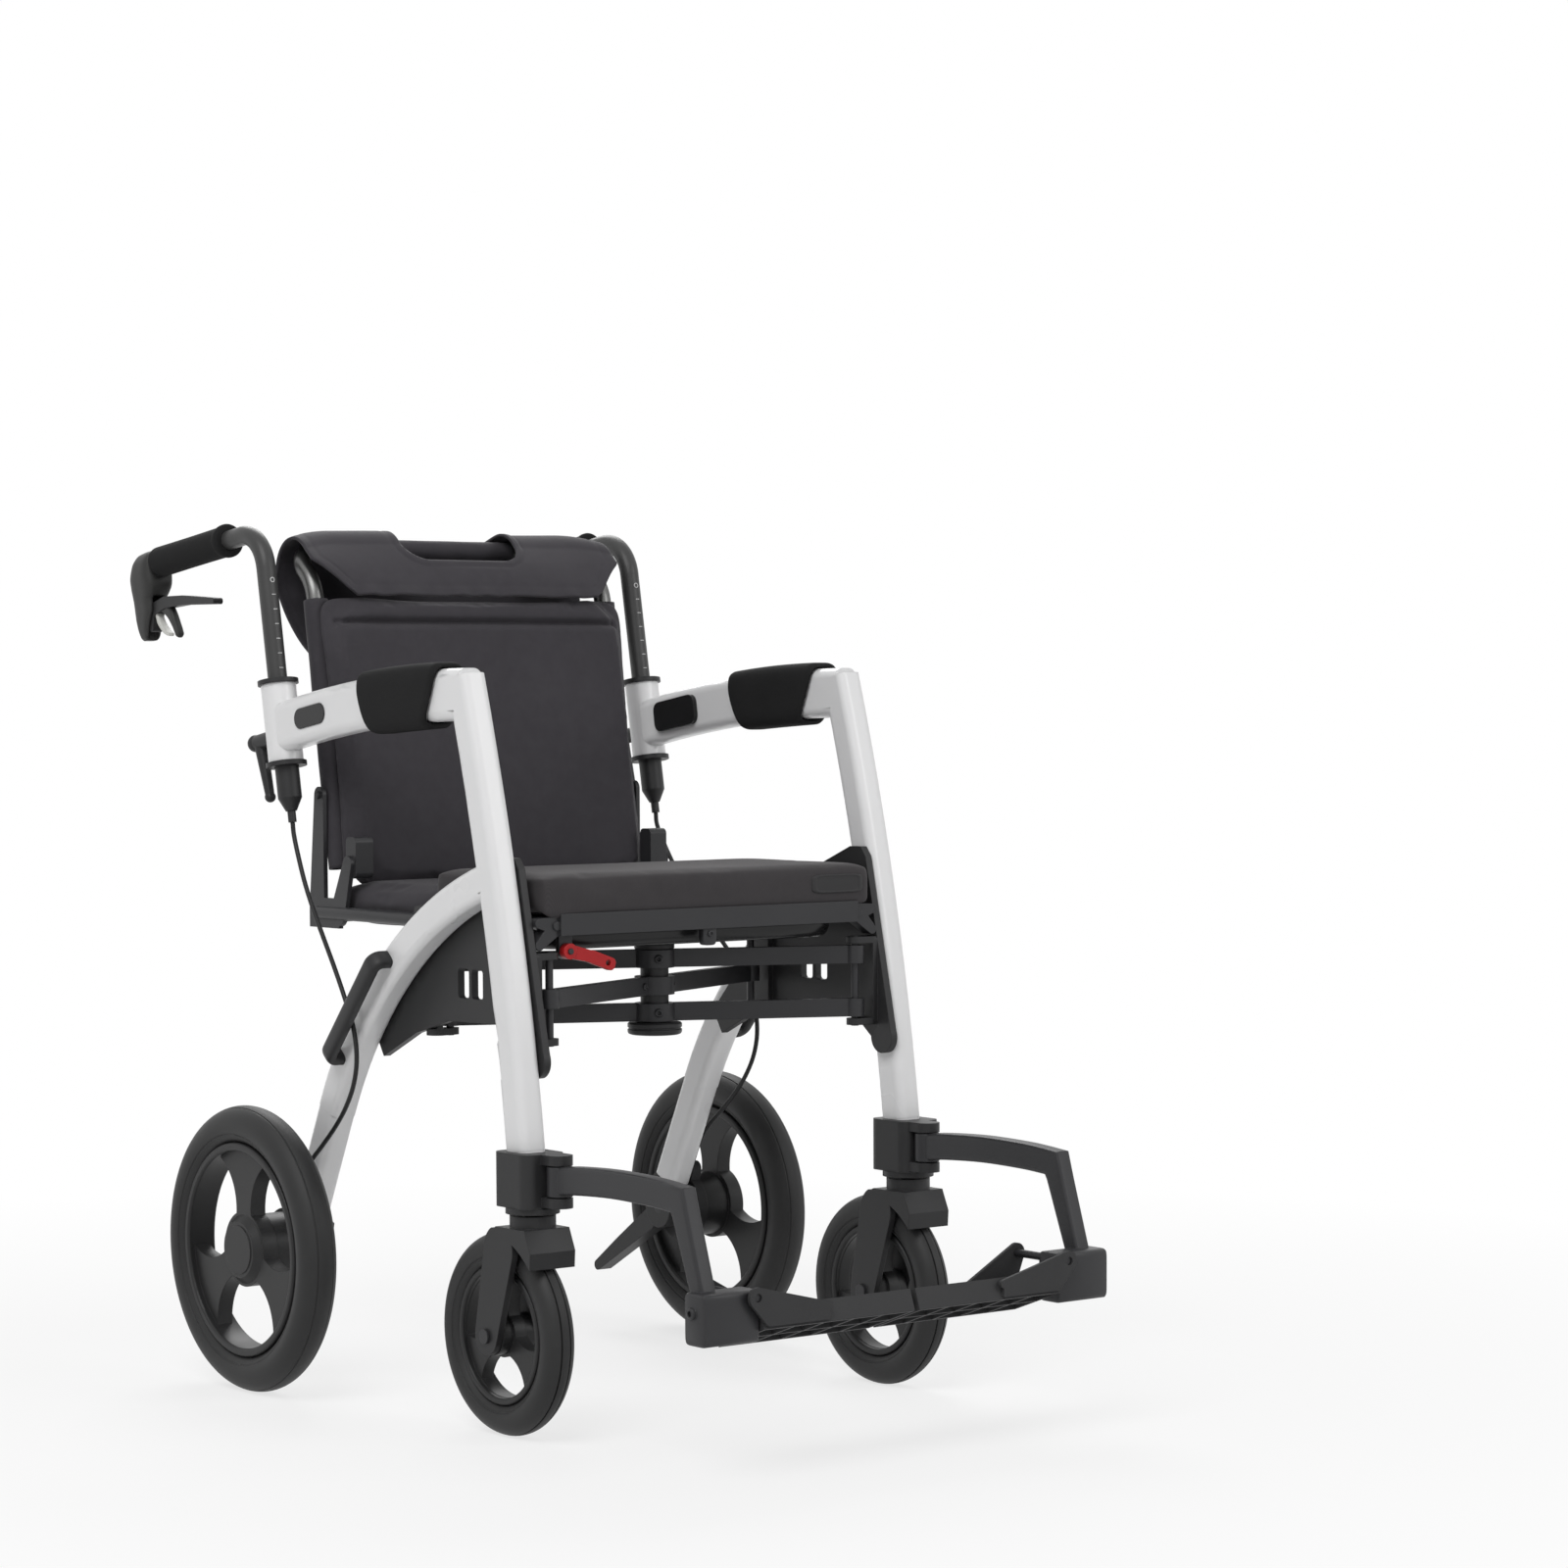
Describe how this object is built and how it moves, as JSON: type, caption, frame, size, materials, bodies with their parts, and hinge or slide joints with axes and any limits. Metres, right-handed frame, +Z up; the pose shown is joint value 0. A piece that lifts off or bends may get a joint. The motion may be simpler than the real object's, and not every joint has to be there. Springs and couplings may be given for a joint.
{
  "type": "rollator transport chair",
  "caption": "Rollator walking frame set up as a push chair: white side frames, padded seat and backrest, caster and drum-braked wheels, height-set brake handles and swing-away footrests.",
  "frame": {"origin": "on the floor, under the middle of the overall box", "axes": "+X forward, the way the sitter faces; +Y to the sitter's left; +Z up"},
  "size_m": [1.0706, 0.662, 0.9262],
  "materials": {
    "black_plastic": "moulded, satin",
    "white_paint": "gloss white paint",
    "tyre_rubber": "matt",
    "grey_tube": "satin grey",
    "black_metal": "satin black",
    "black_fabric": "close woven",
    "black_foam": "matt foam",
    "steel": "plain",
    "red_plastic": "gloss",
    "cable_rubber": "satin"
  },
  "bodies": {
    "frame": {"right_side_frame": "white_paint", "left_side_frame": "white_paint", "right_arm_pad": "black_foam", "left_arm_pad": "black_foam", "right_side_panel": "black_plastic", "left_side_panel": "black_plastic", "sleeve_collars": "black_plastic", "swivel_lock_covers": "black_plastic", "caster_heads": "black_plastic", "leg_feet": "black_plastic", "rear_axles": "steel", "brake_plates": "black_plastic", "leg_loops": "black_plastic", "tipping_lever": "black_plastic", "right_brake_cable": "cable_rubber", "left_brake_cable": "cable_rubber", "double_cross_arm": "black_metal", "single_cross_arm": "black_metal", "pivot_column": "black_plastic", "linkage_pins": "steel", "seat_tray": "black_metal", "seat_cushion": "black_fabric"},
    "release": {"release_lever": "red_plastic"},
    "back_unit": {"backrest_carrier": "black_metal", "seat_extension": "black_fabric", "backrest_pins": "steel"},
    "back": {"backrest_tube": "grey_tube", "backrest_panel": "black_fabric", "backrest_flap": "black_fabric"},
    "right_slider": {"right_stem_guide": "black_plastic"},
    "right_handle": {"right_handle_stem": "black_metal", "right_grip": "black_foam", "right_grip_hood": "black_plastic"},
    "right_lever": {"right_brake_lever": "black_plastic"},
    "right_clamp": {"right_clamp_lever": "black_plastic"},
    "right_rear_wheel": {"right_rear_wheel": "black_plastic", "right_rear_tyre": "tyre_rubber"},
    "right_caster": {"right_caster_fork": "black_plastic", "right_caster_axle": "steel"},
    "right_front_wheel": {"right_front_wheel": "black_plastic", "right_front_tyre": "tyre_rubber"},
    "right_foot_arm": {"right_footrest": "black_metal", "right_footplate_pin": "steel"},
    "right_foot_plate": {"right_footplate": "black_plastic"},
    "left_slider": {"left_stem_guide": "black_plastic"},
    "left_handle": {"left_handle_stem": "black_metal", "left_grip": "black_foam", "left_grip_hood": "black_plastic"},
    "left_lever": {"left_brake_lever": "black_plastic"},
    "left_clamp": {"left_clamp_lever": "black_plastic"},
    "left_rear_wheel": {"left_rear_wheel": "black_plastic", "left_rear_tyre": "tyre_rubber"},
    "left_caster": {"left_caster_fork": "black_plastic", "left_caster_axle": "steel"},
    "left_front_wheel": {"left_front_wheel": "black_plastic", "left_front_tyre": "tyre_rubber"},
    "left_foot_arm": {"left_footrest": "black_metal", "left_footplate_pin": "steel"},
    "left_foot_plate": {"left_footplate": "black_plastic"}
  },
  "joints": [
    {"name": "backrest_pull_off", "type": "slide", "parent": "frame", "child": "back_unit", "axis": [-1, 0, 0], "range_m": [0, 0.25]},
    {"name": "backrest_fold", "type": "hinge", "parent": "back_unit", "child": "back", "pos_m": [-0.21222, 0, 0.632], "axis": [0, 1, 0], "range_deg": [0, 80]},
    {"name": "seat_release", "type": "hinge", "parent": "frame", "child": "release", "pos_m": [0.20378, -0.176, 0.482], "axis": [1, 0, 0], "range_deg": [0, 25], "stiffness_Nm_per_rad": 0.4},
    {"name": "right_wheel_spin", "type": "hinge", "parent": "frame", "child": "right_rear_wheel", "pos_m": [-0.19622, -0.31, 0.1525], "axis": [0, 1, 0], "continuous": true},
    {"name": "right_caster_swivel", "type": "hinge", "parent": "frame", "child": "right_caster", "pos_m": [0.23178, -0.241, 0.24], "axis": [0, 0, 1], "continuous": true},
    {"name": "right_caster_spin", "type": "hinge", "parent": "right_caster", "child": "right_front_wheel", "pos_m": [0.18678, -0.241, 0.102], "axis": [0, 1, 0], "continuous": true},
    {"name": "right_handle_height", "type": "slide", "parent": "frame", "child": "right_slider", "axis": [-0.1736, 0, 0.9848], "range_m": [-0.09, 0.016], "deforming": ["right_brake_cable"]},
    {"name": "right_handle_turn", "type": "hinge", "parent": "right_slider", "child": "right_handle", "pos_m": [-0.23361, -0.241, 0.70905], "axis": [-0.1736, 0, 0.9848], "range_deg": [0, 180]},
    {"name": "right_brake_pull", "type": "hinge", "parent": "right_handle", "child": "right_lever", "pos_m": [-0.5058, -0.241, 0.83528], "axis": [0, -1, 0], "range_deg": [-16, 14], "stiffness_Nm_per_rad": 2},
    {"name": "right_height_clamp", "type": "hinge", "parent": "frame", "child": "right_clamp", "pos_m": [-0.23152, -0.241, 0.69723], "axis": [0.9848, 0, 0.1736], "range_deg": [-90, 0]},
    {"name": "right_footrest_swing", "type": "hinge", "parent": "frame", "child": "right_foot_arm", "pos_m": [0.27028, -0.235, 0.262], "axis": [0, 0, -1], "range_deg": [0, 90]},
    {"name": "right_footplate_flip", "type": "hinge", "parent": "right_foot_arm", "child": "right_foot_plate", "pos_m": [0.49628, -0.195, 0.174], "axis": [1, 0, 0], "range_deg": [0, 90]},
    {"name": "left_wheel_spin", "type": "hinge", "parent": "frame", "child": "left_rear_wheel", "pos_m": [-0.19622, 0.31, 0.1525], "axis": [0, 1, 0], "continuous": true},
    {"name": "left_caster_swivel", "type": "hinge", "parent": "frame", "child": "left_caster", "pos_m": [0.23178, 0.241, 0.24], "axis": [0, 0, 1], "continuous": true},
    {"name": "left_caster_spin", "type": "hinge", "parent": "left_caster", "child": "left_front_wheel", "pos_m": [0.18678, 0.241, 0.102], "axis": [0, 1, 0], "continuous": true},
    {"name": "left_handle_height", "type": "slide", "parent": "frame", "child": "left_slider", "axis": [-0.1736, 0, 0.9848], "range_m": [-0.09, 0.016], "deforming": ["left_brake_cable"]},
    {"name": "left_handle_turn", "type": "hinge", "parent": "left_slider", "child": "left_handle", "pos_m": [-0.23361, 0.241, 0.70905], "axis": [0.1736, 0, -0.9848], "range_deg": [0, 180]},
    {"name": "left_brake_pull", "type": "hinge", "parent": "left_handle", "child": "left_lever", "pos_m": [-0.5058, 0.241, 0.83528], "axis": [0, -1, 0], "range_deg": [-16, 14], "stiffness_Nm_per_rad": 2},
    {"name": "left_height_clamp", "type": "hinge", "parent": "frame", "child": "left_clamp", "pos_m": [-0.23152, 0.241, 0.69723], "axis": [-0.9848, 0, -0.1736], "range_deg": [-90, 0]},
    {"name": "left_footrest_swing", "type": "hinge", "parent": "frame", "child": "left_foot_arm", "pos_m": [0.27028, 0.235, 0.262], "axis": [0, 0, 1], "range_deg": [0, 90]},
    {"name": "left_footplate_flip", "type": "hinge", "parent": "left_foot_arm", "child": "left_foot_plate", "pos_m": [0.49628, 0.195, 0.174], "axis": [-1, 0, 0], "range_deg": [0, 90]}
  ]
}
